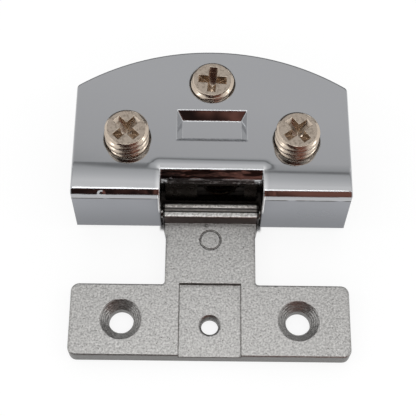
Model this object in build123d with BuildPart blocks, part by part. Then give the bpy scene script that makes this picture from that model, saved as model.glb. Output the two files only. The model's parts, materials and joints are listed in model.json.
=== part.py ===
"""Clamp hinge for a glass cabinet door: a half-moon clamp body grips the glass, pinned to a T-shaped arm.

Millimetres, +Z up. The origin is on the arm's mounting face, midway between its two screw holes. X runs
along the T plate and the hinge pin, +Y from the T plate to the clamp. The arm lies on its mounting face, and
the clamp is open a little past flat, so that the far edge of its back plate rests on the same surface.
"""

import os
from math import acos, asin, atan2, cos, hypot, radians, sin, sqrt

from build123d import *

# ---------------------------------------------------------------- mounting arm
plate_overhang = 0.3  # T plate, past the clamp body on either side
plate_depth = 13.5  # T plate, along Y
plate_thickness = 3.2
plate_corner_radius = 1.5
cast_edge_radius = 0.3  # where the top face meets the sides
screw_spacing = 32.0  # between the two countersunk holes
screw_hole_radius = 2.25
countersink_radius = 3.75
countersink_angle = 90.0
recess_width = 11.2  # shallow seat for the cover's lug, open at the front edge
recess_depth = 0.8
recess_length = 13.65
adjust_hole_setback = 0.8  # tapped hole, from the screw line towards the front
adjust_hole_radius = 1.65  # M4, at the thread's minor diameter
adjust_rim_radius = 2.0
arm_width = 16.6
arm_corner_radius = 0.6  # inside corners between arm and T plate
ejector_mark_radius = 2.0
ejector_mark_groove = 0.25
ejector_mark_depth = 0.15
ejector_mark_setback = 3.3  # from the knuckle's step towards the T plate

# --------------------------------------------------------------------- knuckle
knuckle_width = 17.8
shoulder_length = 2.4  # the arm widens to the knuckle over this length
knuckle_step_y = 18.8  # foot of the step at the end of the arm
step_top_z = 6.0
step_ledge = 1.1
step_corner_radius = 0.3
groove_drop = 0.45  # notch between the ledge and the barrel
groove_end_angle = 100.0  # on the barrel, from the +Y side
barrel_radius = 1.8
pin_y = 20.5
pin_z = 4.0
arm_underside_end = 17.4  # the mounting face stops here and the arm's underside rises to the barrel

# ------------------------------------------------------------------- pivot pin
pin_radius = 1.0
pin_press_clearance = 0.02  # in the clamp body's ears
pin_running_clearance = 0.06  # in the knuckle
pin_end_recess = 0.5  # below the side face that it is pressed in from
pin_blind_depth = 6.0  # into the far ear
pin_end_chamfer = 0.25

# ------------------------------------- clamp body, measured from the pin's axis
body_width = 50.0
pin_setback = 1.8  # near face to pin axis
side_length = 22.1  # near face to the corners of the arc
arc_rise = 7.8
body_thickness = 14.45
pin_height = 2.65  # pin axis above the back plate's outer face
face_plate = 3.6
back_plate = 3.0
edge_chamfer = 0.76  # along the hinge edge of the face plate
edge_band = 1.4  # polished band under the chamfer
band_step = 0.1  # the near face lies this far behind the band
roll_off_length = 5.2  # the face plate curves down gently towards the hinge edge
roll_off_drop = 0.31
body_corner_radius = 1.0
rim_radius = 0.3  # round along the face plate, bevel along the back plate
heel_chamfer = 0.5  # lower hinge edge, clears the mounting surface as the door swings
slot_near_wall = 6.7  # near face to the end of the glass slot
slot_corner_radius = 0.8

# ------------------------------------------------------- knuckle gap and cavity
gap_side_clearance = 0.3
gap_depth = 4.7  # near face to the gap's far wall
lip_run = 1.05  # the far wall leans out to a lip over the latch plate
lip_drop = 1.8  # face plate to the lip's edge
floor_front_clearance = 0.4  # floor under the latch plate to the knuckle's ledge, door closed
latch_travel_room = 1.2
boss_half_width = 10.2  # spring boss inside the slot, and stop for the glass edge
boss_wall = 0.8

# ----------------------------------------------------------- latch plate, spring
latch_width = 16.8
latch_thickness = 0.8
latch_clearance = 0.1  # to the cavity's floor and ceiling
latch_side_clearance = 0.2
latch_window_width = 8.7
latch_window_height = 5.3
latch_window_offset = 1.75
latch_corner_radius = 0.4
latch_floor_height = 3.55  # back plate's outer face to the floor that the latch plate stands on
spring_outer_radius = 3.1
spring_wire_radius = 0.3
spring_clearance = 0.2
spring_length = 3.2
spring_turns = 3.25
spring_wire_sides = 6  # flats that draw the round wire

# ----------------------------------------------------------------------- pocket
pocket_width = 12.8
pocket_length = 6.4
pocket_depth = 1.45
pocket_inset = 1.0  # side walls lean in by this much over the depth
pocket_near_inset = 1.15  # wall nearer the pin
pocket_far_inset = 1.45
pocket_from_pin = 12.02  # pin axis to the pocket's centre

# ------------------------------------------------------------------- set screws
screw_radius = 4.0  # M8
screw_clearance = 0.1
screw_rim_chamfer = 0.15
screw_length = 5.5
screw_flat_radius = 3.45
screw_tip_radius = 3.3
screw_tip_height = 0.6
cross_span = 5.4
cross_wing = 1.25
cross_depth = 2.3
cross_root_radius = 0.75
side_screw_inset = 9.7  # from the clamp body's side
side_screw_from_pin = 9.2
top_screw_from_pin = 21.1
side_screw_proud = 3.6
top_screw_proud = 1.3
left_screw_turn = 45.0
right_screw_turn = 37.0
top_screw_turn = -5.0

# ----------------------------------------------------- pressure plate and pads
pressure_thickness = 1.2
pressure_edge_gap = 1.2  # inside the body's outline
pressure_end_gap = 0.4  # from the spring boss
pad_thickness = 0.6
pad_inset = 0.3  # the pads stop short of the pressure plate's edge
pad_corner_radius = 1.0

# ------------------------------------------------------------- worked-out sizes
gap_width = knuckle_width + 2 * gap_side_clearance
plate_width = body_width + 2 * plate_overhang
plate_front = -plate_depth / 2
plate_back = plate_depth / 2
recess_floor = plate_thickness - recess_depth
arm_overlap = plate_back - cast_edge_radius  # the arm starts inside the T plate
ejector_mark_y = knuckle_step_y - ejector_mark_setback

near_face = -pin_setback
side_end = near_face + side_length
arc_top = side_end + arc_rise
arc_radius = ((body_width / 2) ** 2 + arc_rise**2) / (2 * arc_rise)
arc_centre = arc_top - arc_radius
underside = -pin_height
top_face = underside + body_thickness
slot_floor = underside + back_plate
slot_ceiling = top_face - face_plate
slot_end = near_face + slot_near_wall
lip_face = near_face + gap_depth
lip_edge = lip_face - lip_run
cavity_floor = underside + latch_floor_height
cavity_width = latch_width + 2 * latch_side_clearance
latch_height = slot_ceiling - cavity_floor - 2 * latch_clearance
latch_middle = (slot_ceiling + cavity_floor) / 2
ledge_height = step_top_z - pin_z
floor_front = ledge_height + floor_front_clearance
spring_seat = lip_face + spring_length
boss_face = spring_seat + boss_wall
beyond = body_width  # past every edge of the clamp
pick = 0.01  # either side, when an edge or face is picked by its place

screw_hole_wall = screw_radius + screw_clearance
side_screw_offset = body_width / 2 - side_screw_inset
pressure_top = top_face + top_screw_proud - screw_length
pressure_underside = pressure_top - pressure_thickness
pressure_near_edge = boss_face + pressure_end_gap

# The clamp leans back about the pin until the far edge of its back plate meets the mounting surface.
edge_reach = hypot(arc_top, pin_height)
rest_droop = asin(pin_z / edge_reach) - atan2(pin_height, arc_top)

# door: its origin is on the pin's axis, x along the pin, y across the clamp, z out of the face plate.
door = Plane(origin=(0, pin_y, pin_z), x_dir=(1, 0, 0), z_dir=(0, sin(rest_droop), cos(rest_droop)))
door_section = Plane(origin=door.origin, x_dir=door.y_dir, z_dir=(1, 0, 0))
arm_section = Plane(origin=(0, 0, 0), x_dir=(0, 1, 0), z_dir=(1, 0, 0))


def door_point(x, y, z):
    """A place given in the door's own axes."""
    return door.from_local_coords(Vector(x, y, z))


def facing_hinge(distance):
    """A plane this far behind the pin, facing the knuckle: x along the pin, y out of the face plate."""
    return Plane(origin=door_point(0, distance, 0), x_dir=(1, 0, 0), z_dir=door.y_dir * -1)


def half_moon(inset, near_edge, corner_radius):
    """The clamp's outline moved in by inset, with a straight near edge."""
    half_width = body_width / 2 - inset
    radius = arc_radius - inset
    side_y = arc_centre + sqrt(radius**2 - half_width**2)
    with BuildSketch() as outline:
        with BuildLine():
            Polyline(
                (-half_width, side_y),
                (-half_width, near_edge),
                (half_width, near_edge),
                (half_width, side_y),
            )
            ThreePointArc((half_width, side_y), (0, arc_centre + radius), (-half_width, side_y))
        make_face()
        fillet(outline.vertices(), radius=corner_radius)
    return outline.sketch


# ---------------------------------------------------------------- mounting arm
# Seen from the side: flat arm, step, ledge, notch, barrel, and an underside that rises to meet the barrel.
ledge_end = knuckle_step_y + step_ledge
notch_angle = radians(groove_end_angle)
barrel_start = (pin_y + barrel_radius * cos(notch_angle), pin_z + barrel_radius * sin(notch_angle))
underside_rise = pin_y - arm_underside_end
foot_angle = atan2(-pin_z, -underside_rise) + acos(barrel_radius / hypot(underside_rise, pin_z))
barrel_foot = (pin_y + barrel_radius * cos(foot_angle), pin_z + barrel_radius * sin(foot_angle))

with BuildPart() as mounting_arm:
    with BuildSketch(arm_section):
        with BuildLine():
            Polyline(
                barrel_foot,
                (arm_underside_end, 0),
                (arm_overlap, 0),
                (arm_overlap, plate_thickness),
                (knuckle_step_y, plate_thickness),
                (knuckle_step_y, step_top_z),
                (ledge_end, step_top_z),
                (ledge_end, step_top_z - groove_drop),
                barrel_start,
            )
            ThreePointArc(barrel_start, (pin_y + barrel_radius, pin_z), barrel_foot)
        make_face()
    extrude(amount=knuckle_width / 2, both=True)
    ledge = mounting_arm.edges().filter_by_position(Axis.Z, step_top_z - pick, step_top_z + pick)
    fillet(ledge.filter_by(Axis.X).sort_by(Axis.Y)[0], radius=step_corner_radius)
    with BuildSketch(Plane.XY):
        with BuildLine():
            Polyline(
                (-arm_width / 2, plate_front),
                (arm_width / 2, plate_front),
                (arm_width / 2, knuckle_step_y - shoulder_length),
                (knuckle_width / 2, knuckle_step_y),
                (knuckle_width / 2, pin_y + barrel_radius),
                (-knuckle_width / 2, pin_y + barrel_radius),
                (-knuckle_width / 2, knuckle_step_y),
                (-arm_width / 2, knuckle_step_y - shoulder_length),
                close=True,
            )
        make_face()
    extrude(amount=step_top_z, mode=Mode.INTERSECT)
    with BuildSketch(Plane.XY):
        RectangleRounded(plate_width, plate_depth, plate_corner_radius)
    extrude(amount=plate_thickness)
    upright_edges = mounting_arm.edges().filter_by(Axis.Z)
    inside_corners = upright_edges.filter_by_position(Axis.Y, plate_back - pick, plate_back + pick)
    fillet(inside_corners.filter_by_position(Axis.X, -arm_width, arm_width), radius=arm_corner_radius)
    flat_top = mounting_arm.faces().filter_by_position(Axis.Z, plate_thickness - pick, plate_thickness + pick)
    rim = flat_top.edges().filter_by_position(Axis.Y, plate_front, knuckle_step_y - shoulder_length / 2)
    fillet(rim, radius=cast_edge_radius)
    with BuildSketch(Plane.XY.offset(plate_thickness)):
        with Locations((0, plate_front)):
            Rectangle(recess_width, 2 * recess_length)
    extrude(amount=-recess_depth, mode=Mode.SUBTRACT)
    with Locations((0, 0, plate_thickness)):
        with GridLocations(screw_spacing, 0, 2, 1):
            CounterSinkHole(screw_hole_radius, countersink_radius, plate_thickness, countersink_angle)
    with Locations((0, -adjust_hole_setback, recess_floor)):
        CounterSinkHole(adjust_hole_radius, adjust_rim_radius, recess_floor, countersink_angle)
    with BuildSketch(Plane.XY.offset(plate_thickness)):
        with Locations((0, ejector_mark_y)):
            Circle(ejector_mark_radius)
            Circle(ejector_mark_radius - ejector_mark_groove, mode=Mode.SUBTRACT)
    extrude(amount=-ejector_mark_depth, mode=Mode.SUBTRACT)
    with BuildSketch(Plane.YZ.offset(-knuckle_width / 2)):
        with Locations((pin_y, pin_z)):
            Circle(pin_radius + pin_running_clearance)
    extrude(amount=knuckle_width, mode=Mode.SUBTRACT)

mounting_arm.part.label = "mounting_arm"

# ------------------------------------------------------------------ clamp body
edge_top = top_face - roll_off_drop
chamfer_foot = edge_top - edge_chamfer
band_foot = chamfer_foot - edge_band
chamfer_back = near_face + edge_chamfer
pin_bore_end = gap_width / 2 + pin_blind_depth
pin_plane = Plane(origin=(-body_width / 2, pin_y, pin_z), x_dir=(0, 1, 0), z_dir=(1, 0, 0))
door_out = Axis(door.origin, door.z_dir)
door_back = Axis(door.origin, door.y_dir)
side_screw_places = [(-side_screw_offset, side_screw_from_pin, 0), (side_screw_offset, side_screw_from_pin, 0)]
screw_hole_places = side_screw_places + [(0, top_screw_from_pin, 0)]
slot_half_width = body_width / 2 + slot_corner_radius

with BuildPart() as clamp_body:
    with BuildSketch(door_section):
        with BuildLine():
            Polyline(
                (chamfer_back + roll_off_length, top_face),
                (beyond, top_face),
                (beyond, underside),
                (near_face + band_step + heel_chamfer, underside),
                (near_face + band_step, underside + heel_chamfer),
                (near_face + band_step, band_foot),
                (near_face, band_foot),
                (near_face, chamfer_foot),
                (chamfer_back, edge_top),
            )
            TangentArc((chamfer_back + roll_off_length, top_face), (chamfer_back, edge_top), tangent=(-1, 0))
        make_face()
    extrude(amount=body_width / 2, both=True)
    with BuildSketch(door.offset(underside)):
        add(half_moon(0, near_face - edge_chamfer, body_corner_radius))
    extrude(amount=body_thickness, mode=Mode.INTERSECT)
    far_edges = clamp_body.edges().filter_by_position(door_back, slot_end, arc_top + pick)
    outer_rims = far_edges.filter_by(Axis.X, reverse=True)
    top_rims = outer_rims.filter_by_position(door_out, top_face - rim_radius, top_face + rim_radius)
    bottom_rims = outer_rims.filter_by_position(door_out, underside - rim_radius, underside + rim_radius)
    fillet(top_rims, radius=rim_radius)
    chamfer(bottom_rims, length=rim_radius)

    # glass slot, round the spring boss
    with BuildSketch(door.offset(slot_floor)) as slot_plan:
        with BuildLine():
            Polyline(
                (-slot_half_width, slot_end),
                (-boss_half_width, slot_end),
                (-boss_half_width, boss_face),
                (boss_half_width, boss_face),
                (boss_half_width, slot_end),
                (slot_half_width, slot_end),
                (slot_half_width, beyond),
                (-slot_half_width, beyond),
                close=True,
            )
        make_face()
        boss_corners = slot_plan.vertices().filter_by_position(Axis.X, -boss_half_width, boss_half_width)
        fillet(boss_corners, radius=slot_corner_radius)
    extrude(amount=slot_ceiling - slot_floor, mode=Mode.SUBTRACT)

    # gap for the knuckle, deeper above the floor that the latch plate stands on, with the lip over it
    with BuildSketch(door.offset(underside)):
        with Locations((0, near_face)):
            Rectangle(gap_width, 2 * (floor_front - near_face))
    extrude(amount=cavity_floor - underside, mode=Mode.SUBTRACT)
    with BuildSketch(door_section):
        with BuildLine():
            Polyline(
                (-beyond, cavity_floor),
                (lip_face, cavity_floor),
                (lip_face, slot_ceiling),
                (lip_edge, slot_ceiling),
                (lip_edge, top_face - lip_drop),
                (lip_face, top_face),
                (lip_face, beyond),
                (-beyond, beyond),
                close=True,
            )
        make_face()
    extrude(amount=gap_width / 2, both=True, mode=Mode.SUBTRACT)

    # cavity for the latch plate, and the blind bore for its spring
    with BuildSketch(door.offset(cavity_floor)):
        with Locations((0, lip_face)):
            Rectangle(cavity_width, 2 * latch_travel_room)
    extrude(amount=slot_ceiling - cavity_floor, mode=Mode.SUBTRACT)
    with BuildSketch(facing_hinge(lip_face)):
        with Locations((latch_window_offset, latch_middle)):
            Circle(spring_outer_radius + spring_clearance)
    extrude(amount=-spring_length, mode=Mode.SUBTRACT)

    # bore for the pivot pin: through one ear, blind in the other
    with BuildSketch(pin_plane):
        Circle(pin_radius + pin_press_clearance)
    extrude(amount=body_width / 2 + pin_bore_end, mode=Mode.SUBTRACT)

    # pocket with leaning walls
    with BuildSketch(door.offset(top_face)):
        with Locations((0, pocket_from_pin)):
            Rectangle(pocket_width, pocket_length)
    with BuildSketch(door.offset(top_face - pocket_depth)):
        with Locations((0, pocket_from_pin + (pocket_near_inset - pocket_far_inset) / 2)):
            Rectangle(pocket_width - 2 * pocket_inset, pocket_length - pocket_near_inset - pocket_far_inset)
    loft(mode=Mode.SUBTRACT)

    # tapped holes for the set screws
    with Locations(door.offset(top_face)):
        with Locations(*screw_hole_places):
            CounterSinkHole(
                screw_hole_wall,
                screw_hole_wall + screw_rim_chamfer,
                face_plate + latch_clearance,
                countersink_angle,
            )

clamp_body.part.label = "clamp_body"

# ------------------------------------------------------------------- pivot pin
pin_length = body_width / 2 + pin_bore_end - pin_end_recess

with BuildPart() as pivot_pin:
    with BuildSketch(pin_plane.offset(pin_end_recess)):
        Circle(pin_radius)
    extrude(amount=pin_length)
    chamfer(pivot_pin.edges().filter_by(GeomType.CIRCLE), length=pin_end_chamfer)

pivot_pin.part.label = "pivot_pin"

# --------------------------------------------------- latch plate and its spring
with BuildPart() as latch_plate:
    with BuildSketch(facing_hinge(lip_face)):
        with Locations((0, latch_middle)):
            RectangleRounded(latch_width, latch_height, latch_corner_radius)
        with Locations((latch_window_offset, latch_middle)):
            RectangleRounded(latch_window_width, latch_window_height, latch_corner_radius, mode=Mode.SUBTRACT)
    extrude(amount=latch_thickness)

latch_plate.part.label = "latch_plate"

coil_radius = spring_outer_radius - spring_wire_radius
coil_height = spring_length - 2 * spring_wire_radius
spring_start = door_point(latch_window_offset, lip_face + spring_wire_radius, latch_middle)

with BuildPart() as latch_spring:
    with BuildLine() as coil:
        Helix(coil_height / spring_turns, coil_height, coil_radius, center=spring_start, direction=door.y_dir)
    with BuildSketch(coil.line ^ 0):
        RegularPolygon(spring_wire_radius, spring_wire_sides)
    sweep(is_frenet=True)

latch_spring.part.label = "latch_spring"

# ------------------------------------------------------------------ set screws
# The driver's cross, its mouth at z = 0: four wings cut to a cone.
with BuildPart() as driver_cross:
    with BuildSketch(Plane.XY):
        Rectangle(cross_span, cross_wing)
        Rectangle(cross_wing, cross_span)
    extrude(amount=-cross_depth)
    with BuildSketch(Plane.XZ):
        with BuildLine():
            Polyline(
                (0, 0),
                (cross_span / 2, 0),
                (cross_root_radius, -cross_depth),
                (0, -cross_depth),
                close=True,
            )
        make_face()
    revolve(axis=Axis.Z, mode=Mode.INTERSECT)

with BuildPart() as set_screw:
    with BuildSketch(Plane.XZ):
        with BuildLine():
            Polyline(
                (0, 0),
                (screw_flat_radius, 0),
                (screw_radius, screw_flat_radius - screw_radius),
                (screw_radius, screw_tip_height - screw_length),
                (screw_tip_radius, -screw_length),
                (0, -screw_length),
                close=True,
            )
        make_face()
    revolve(axis=Axis.Z)
    add(driver_cross.part, mode=Mode.SUBTRACT)

# each screw: name, place across the clamp, height of its face above the face plate, turn
screws = [
    ("clamp_screw_left", -side_screw_offset, side_screw_from_pin, side_screw_proud, left_screw_turn),
    ("clamp_screw_right", side_screw_offset, side_screw_from_pin, side_screw_proud, right_screw_turn),
    ("clamp_screw_top", 0, top_screw_from_pin, top_screw_proud, top_screw_turn),
]

# ----------------------------------------------------- pressure plate and pads
with BuildPart() as pressure_plate:
    with BuildSketch(door.offset(pressure_underside)):
        add(half_moon(pressure_edge_gap, pressure_near_edge, pad_corner_radius))
    extrude(amount=pressure_thickness)

pressure_plate.part.label = "pressure_plate"

pad_outline = half_moon(pressure_edge_gap + pad_inset, pressure_near_edge + pad_inset, pad_corner_radius)

with BuildPart() as pressure_pad:
    with BuildSketch(door.offset(pressure_underside - pad_thickness)):
        add(pad_outline)
    extrude(amount=pad_thickness)

pressure_pad.part.label = "pressure_pad"

with BuildPart() as face_pad:
    with BuildSketch(door.offset(slot_floor)):
        add(pad_outline)
    extrude(amount=pad_thickness)

face_pad.part.label = "face_pad"

# ---------------------------------------------------------------------- export
os.makedirs("parts", exist_ok=True)
export_step(mounting_arm.part, "parts/mounting_arm.step")
export_step(clamp_body.part, "parts/clamp_body.step")
export_step(pivot_pin.part, "parts/pivot_pin.step")
export_step(latch_plate.part, "parts/latch_plate.step")
export_step(latch_spring.part, "parts/latch_spring.step")
export_step(pressure_plate.part, "parts/pressure_plate.step")
export_step(pressure_pad.part, "parts/pressure_pad.step")
export_step(face_pad.part, "parts/face_pad.step")

for name, x, y, proud, turn in screws:
    cross_direction = door.x_dir.rotate(Axis((0, 0, 0), door.z_dir), turn)
    screw_plane = Plane(origin=door_point(x, y, top_face + proud), x_dir=cross_direction, z_dir=door.z_dir)
    with BuildPart() as clamp_screw:
        with Locations(screw_plane):
            add(set_screw.part)
    clamp_screw.part.label = name
    export_step(clamp_screw.part, f"parts/{name}.step")
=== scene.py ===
"""Finishes and stage for a clamp hinge that carries a glass cabinet door.

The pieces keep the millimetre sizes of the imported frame. This file adds what the frame leaves plain: threads
on the set screws, the wound latch spring, the moulded pads, the tapped thread in the T plate, and the finish
of every surface. It is laid out as an add-on, with one operator for each piece or group of like pieces.
"""

import json
from functools import partial
from math import atan2, ceil, cos, inf, pi, radians, sin

import bmesh
import bpy
from bpy.props import FloatProperty, FloatVectorProperty, IntProperty, PointerProperty, StringProperty
from mathutils import Matrix, Quaternion, Vector


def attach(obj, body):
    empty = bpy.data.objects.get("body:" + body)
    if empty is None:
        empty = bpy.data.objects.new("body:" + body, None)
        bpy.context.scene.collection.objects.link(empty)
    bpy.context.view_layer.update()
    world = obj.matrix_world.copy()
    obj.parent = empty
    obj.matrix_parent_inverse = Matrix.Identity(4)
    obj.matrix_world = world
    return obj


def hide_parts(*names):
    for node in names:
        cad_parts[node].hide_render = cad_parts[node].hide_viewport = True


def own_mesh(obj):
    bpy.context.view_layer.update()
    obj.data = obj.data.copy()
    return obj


bl_info = {
    "name": "Glass Door Clamp Hinge",
    "version": (1, 0, 0),
    "blender": (4, 5, 0),
    "location": "View3D > Sidebar > Hinge",
    "description": "Dresses the clamp hinge: plated and cast metal, threads, spring, pads and a soft stage",
    "category": "Object",
}

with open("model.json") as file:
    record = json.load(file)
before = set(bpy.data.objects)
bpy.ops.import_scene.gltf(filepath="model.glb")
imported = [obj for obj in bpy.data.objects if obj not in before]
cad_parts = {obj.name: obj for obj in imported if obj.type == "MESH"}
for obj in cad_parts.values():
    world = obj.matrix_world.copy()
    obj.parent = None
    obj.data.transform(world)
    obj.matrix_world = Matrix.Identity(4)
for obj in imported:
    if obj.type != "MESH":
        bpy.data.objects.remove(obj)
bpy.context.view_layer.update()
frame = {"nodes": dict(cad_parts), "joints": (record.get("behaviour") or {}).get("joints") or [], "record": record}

MM = 0.001
joints = {joint["name"]: joint for joint in frame["joints"]}

# The door's own axes: x along the pin, y from the pin across the clamp, z out of the face plate.
pin_point = Vector(joints["door_swing"]["pos_m"])
across_clamp = Vector(joints["latch_travel"]["axis"]).normalized()
out_of_plate = Vector(joints["top_screw_travel"]["axis"]).normalized()
door = Matrix((Vector((1, 0, 0)), across_clamp, out_of_plate)).transposed().to_4x4()
door.translation = pin_point
into_door = door.inverted()

# The clamp from the pin, in the door's own axes: the knuckle's gap (half its width, and its far wall), the
# hinge side, the back of its chamfered edge, the foot of the polished band under that edge, and the underside
# and the foot of the lip over the latch plate.
GAP_HALF_WIDTH = 9.2 * MM
GAP_WALL = 2.9 * MM
NEAR_FACE = -1.8 * MM
EDGE_BACK = -1.04 * MM
BAND_FOOT = 9.33 * MM
LIP_UNDERSIDE = 8.2 * MM
LIP_FOOT = 9.6 * MM

# How far the polishing wheel's rounding reaches from the gap and from the hinge edge.
GAP_ROUNDING = 2.65 * MM
EDGE_ROUNDING = 1.1 * MM

# Blisters in the chrome: place in the door's own axes, and radius.
BLISTERS = (
    ((-19.5 * MM, -1.8 * MM, 10.9 * MM), 0.9 * MM),
    ((-7.3 * MM, 1.85 * MM, 9.9 * MM), 0.45 * MM),
)

# The arm, from the middle of its mounting face: the ejector's mark on its top, the nick beside it, and how far
# the two screw holes are from the middle.
EJECTOR_MARK = (0.0, 15.5 * MM, 3.2 * MM)
NICK = (-0.75 * MM, 18.3 * MM, 3.2 * MM)
SCREW_HOLE_X = 16 * MM

# Vertices closer than this, in metres, are one.
WELD = 1e-7


def door_box(node):
    """(lowest, highest) corner of a CAD node at rest, in the door's own axes."""
    corners = [into_door @ vertex.co for vertex in frame["nodes"][node].data.vertices]
    low = Vector(min(corner[axis] for corner in corners) for axis in range(3))
    high = Vector(max(corner[axis] for corner in corners) for axis in range(3))
    return low, high


# ------------------------------------------------------------------ properties
class SetScrewSizes(bpy.types.PropertyGroup):
    """Sizes of the threaded set screws that press on the glass."""

    pitch: FloatProperty(name="Pitch", description="Rise of the thread in one turn", default=1.5 * MM, unit="LENGTH")
    thread_depth: FloatProperty(
        name="Thread depth", description="Crest to root of the thread", default=0.62 * MM, unit="LENGTH"
    )
    face_radius: FloatProperty(
        name="Face radius", description="Flat face round the driver's cross", default=3.45 * MM, unit="LENGTH"
    )
    cross_span: FloatProperty(
        name="Cross span", description="Driver's cross, wing end to wing end", default=5.4 * MM, unit="LENGTH"
    )
    cross_wing: FloatProperty(
        name="Wing width", description="Width of each wing of the cross", default=1.55 * MM, unit="LENGTH"
    )
    cross_depth: FloatProperty(
        name="Cross depth", description="Depth of the cross in the middle", default=2.2 * MM, unit="LENGTH"
    )
    edge_break: FloatProperty(
        name="Edge break", description="Rounding of sharp edges under the plating", default=0.06 * MM, unit="LENGTH"
    )
    turns: FloatVectorProperty(
        name="Turns",
        description="How far each cross is turned: left, right, top",
        default=(radians(45), radians(37), radians(-5)),
        size=3,
        subtype="EULER",
    )


class SpringSizes(bpy.types.PropertyGroup):
    """Sizes of the compression spring behind the latch plate."""

    wire: FloatProperty(name="Wire", description="Diameter of the wire", default=0.6 * MM, unit="LENGTH")
    turns: FloatProperty(name="Turns", description="Number of coils", default=3.25, min=1)
    closed_share: FloatProperty(
        name="Closed end", description="Share of a turn that lies flat at each end", default=0.75, subtype="FACTOR"
    )


class PadSizes(bpy.types.PropertyGroup):
    """Sizes of the rubber pads that touch the glass."""

    edge_round: FloatProperty(name="Edge", description="Rounding of the pad's rim", default=0.14 * MM, unit="LENGTH")
    corner_radius: FloatProperty(name="Corner", description="Radius of the corners", default=1.0 * MM, unit="LENGTH")
    corner_steps: IntProperty(name="Corner steps", description="Points on each rounded corner", default=6, min=2)


class TappedHoleSizes(bpy.types.PropertyGroup):
    """Sizes of the tapped hole in the T plate."""

    pitch: FloatProperty(name="Pitch", description="Rise of the thread in one turn", default=0.7 * MM, unit="LENGTH")
    ridge: FloatProperty(
        name="Ridge", description="Height of the thread's crest over the bore", default=0.12 * MM, unit="LENGTH"
    )


class FinishColours(bpy.types.PropertyGroup):
    """Colours of the finishes, as sRGB hex values."""

    chrome: StringProperty(name="Chrome", description="Bright chrome on the clamp", default="#B7B8BA")
    # painted shade: the hinge side's chrome is drawn in this darker grey
    tumbled_and_shaded: StringProperty(name="Tumbled", description="Chrome on the hinge side, not buffed", default="#93959A")
    # painted shade: the latch plate and its spring are drawn near black for the deep pocket's shade
    pocket_shade_steel: StringProperty(name="Black steel", description="Latch plate and its spring", default="#2A251E")
    cast_nickel: StringProperty(name="Cast nickel", description="Satin nickel on the cast arm", default="#AEADAB")
    nickel: StringProperty(name="Nickel", description="Bright nickel on the set screws", default="#C3B5A6")
    steel: StringProperty(name="Steel", description="Bare steel of the pin and the latch plate", default="#A3A19E")
    zinc: StringProperty(name="Zinc", description="Zinc plating on the pressure plate", default="#B4B8BC")
    rubber: StringProperty(name="Rubber", description="Pads", default="#1C1C1D")


class StageSettings(bpy.types.PropertyGroup):
    """Camera, lamps and floor."""

    lens: FloatProperty(name="Lens", description="Focal length on a 36 mm sensor", default=92.73, unit="CAMERA")
    camera_place: FloatVectorProperty(
        name="Camera",
        description="Where the camera stands",
        default=(-1.785 * MM, -58.98 * MM, 187.55 * MM),
        size=3,
        subtype="TRANSLATION",
        unit="LENGTH",
    )
    camera_aim: FloatVectorProperty(
        name="Aim",
        description="Point that the camera looks at",
        default=(-0.511 * MM, 21.93 * MM, 3.2 * MM),
        size=3,
        subtype="TRANSLATION",
        unit="LENGTH",
    )
    camera_roll: FloatProperty(
        name="Roll", description="Turn about the view's axis", default=radians(1.54), subtype="ANGLE"
    )
    floor_colour: StringProperty(name="Floor", description="Colour of the floor", default="#FAFAFA")
    room_light: FloatProperty(name="Room light", description="Strength of the studio's white light", default=0.97)


class HingeSettings(bpy.types.PropertyGroup):
    """Everything that a user of this hinge would change."""

    screws: PointerProperty(type=SetScrewSizes)
    spring: PointerProperty(type=SpringSizes)
    pads: PointerProperty(type=PadSizes)
    tapped_hole: PointerProperty(type=TappedHoleSizes)
    colours: PointerProperty(type=FinishColours)
    stage: PointerProperty(type=StageSettings)


# ------------------------------------------------------------------- materials
SMOOTH = {"interpolation_type": "SMOOTHSTEP"}
WHITE = (1.0, 1.0, 1.0, 1.0)

# Most of a noise lies between these values.
NOISE_SPAN = (0.3, 0.7)

# The knuckle's bands run along the pin and carry painted highlights and painted shade. Each begins, and is
# full, so many millimetres past the pin.
KNUCKLE_BANDS = {
    "step": (-3.4, -3.0),
    "ledge": (-1.75, -1.6),
    "notch": (-0.68, -0.6),
    "crown": (0.3, 0.5),
    "beyond": (1.0, 1.25),
}


def srgb(hex_value):
    """A linear RGBA colour from an sRGB hex value such as #C3C7CB."""
    shares = [int(hex_value[start : start + 2], 16) / 255 for start in (1, 3, 5)]
    linear = [share / 12.92 if share <= 0.04045 else ((share + 0.055) / 1.055) ** 2.4 for share in shares]
    return (*linear, 1.0)


def per_metre(size_mm):
    """A pattern's scale from the real size of its features, for coordinates in metres."""
    return 1 / (size_mm * MM)


def add_node(tree, kind, *inputs, take=0, **settings):
    """Adds a node with its settings and links, and gives one of its outputs, whose .node is the node itself.

    kind is the node's type, with its operation after a dot where it has one. Inputs come in the order of the
    node's sockets, or in a dict by their names. Each is a value, or another node's output that is linked to it.
    """
    kind, _, operation = kind.partition(".")
    node = tree.nodes.new(f"ShaderNode{kind}")
    if operation:
        node.operation = operation
    for name, value in settings.items():
        setattr(node, name, value)
    sockets = inputs[0] if inputs and isinstance(inputs[0], dict) else dict(enumerate(inputs))
    for name, value in sockets.items():
        if isinstance(value, bpy.types.NodeSocket):
            tree.links.new(value, node.inputs[name])
        else:
            node.inputs[name].default_value = value
    return node.outputs[take] if node.outputs else None


def new_material(name):
    """An empty material, its own way to add a node, and the piece's own coordinates in metres."""
    material = bpy.data.materials.new(name)
    material.use_nodes = True
    material.node_tree.nodes.clear()
    add = partial(add_node, material.node_tree)
    return material, add, add("TexCoord", take="Object")


def grained_surface(add, place, grain_mm, detail, roughness, depth, sockets):
    """Ends a material in a surface whose grain of this size varies its roughness and stands out by this depth."""
    grain = add("TexNoise", {"Vector": place, "Scale": per_metre(grain_mm), "Detail": detail})
    rough = add("MapRange", grain, *NOISE_SPAN, *roughness)
    normal = add("Bump", {"Height": grain, "Strength": 1.0, "Distance": depth})
    add("OutputMaterial", add("BsdfPrincipled", {**sockets, "Roughness": rough, "Normal": normal}))


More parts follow.
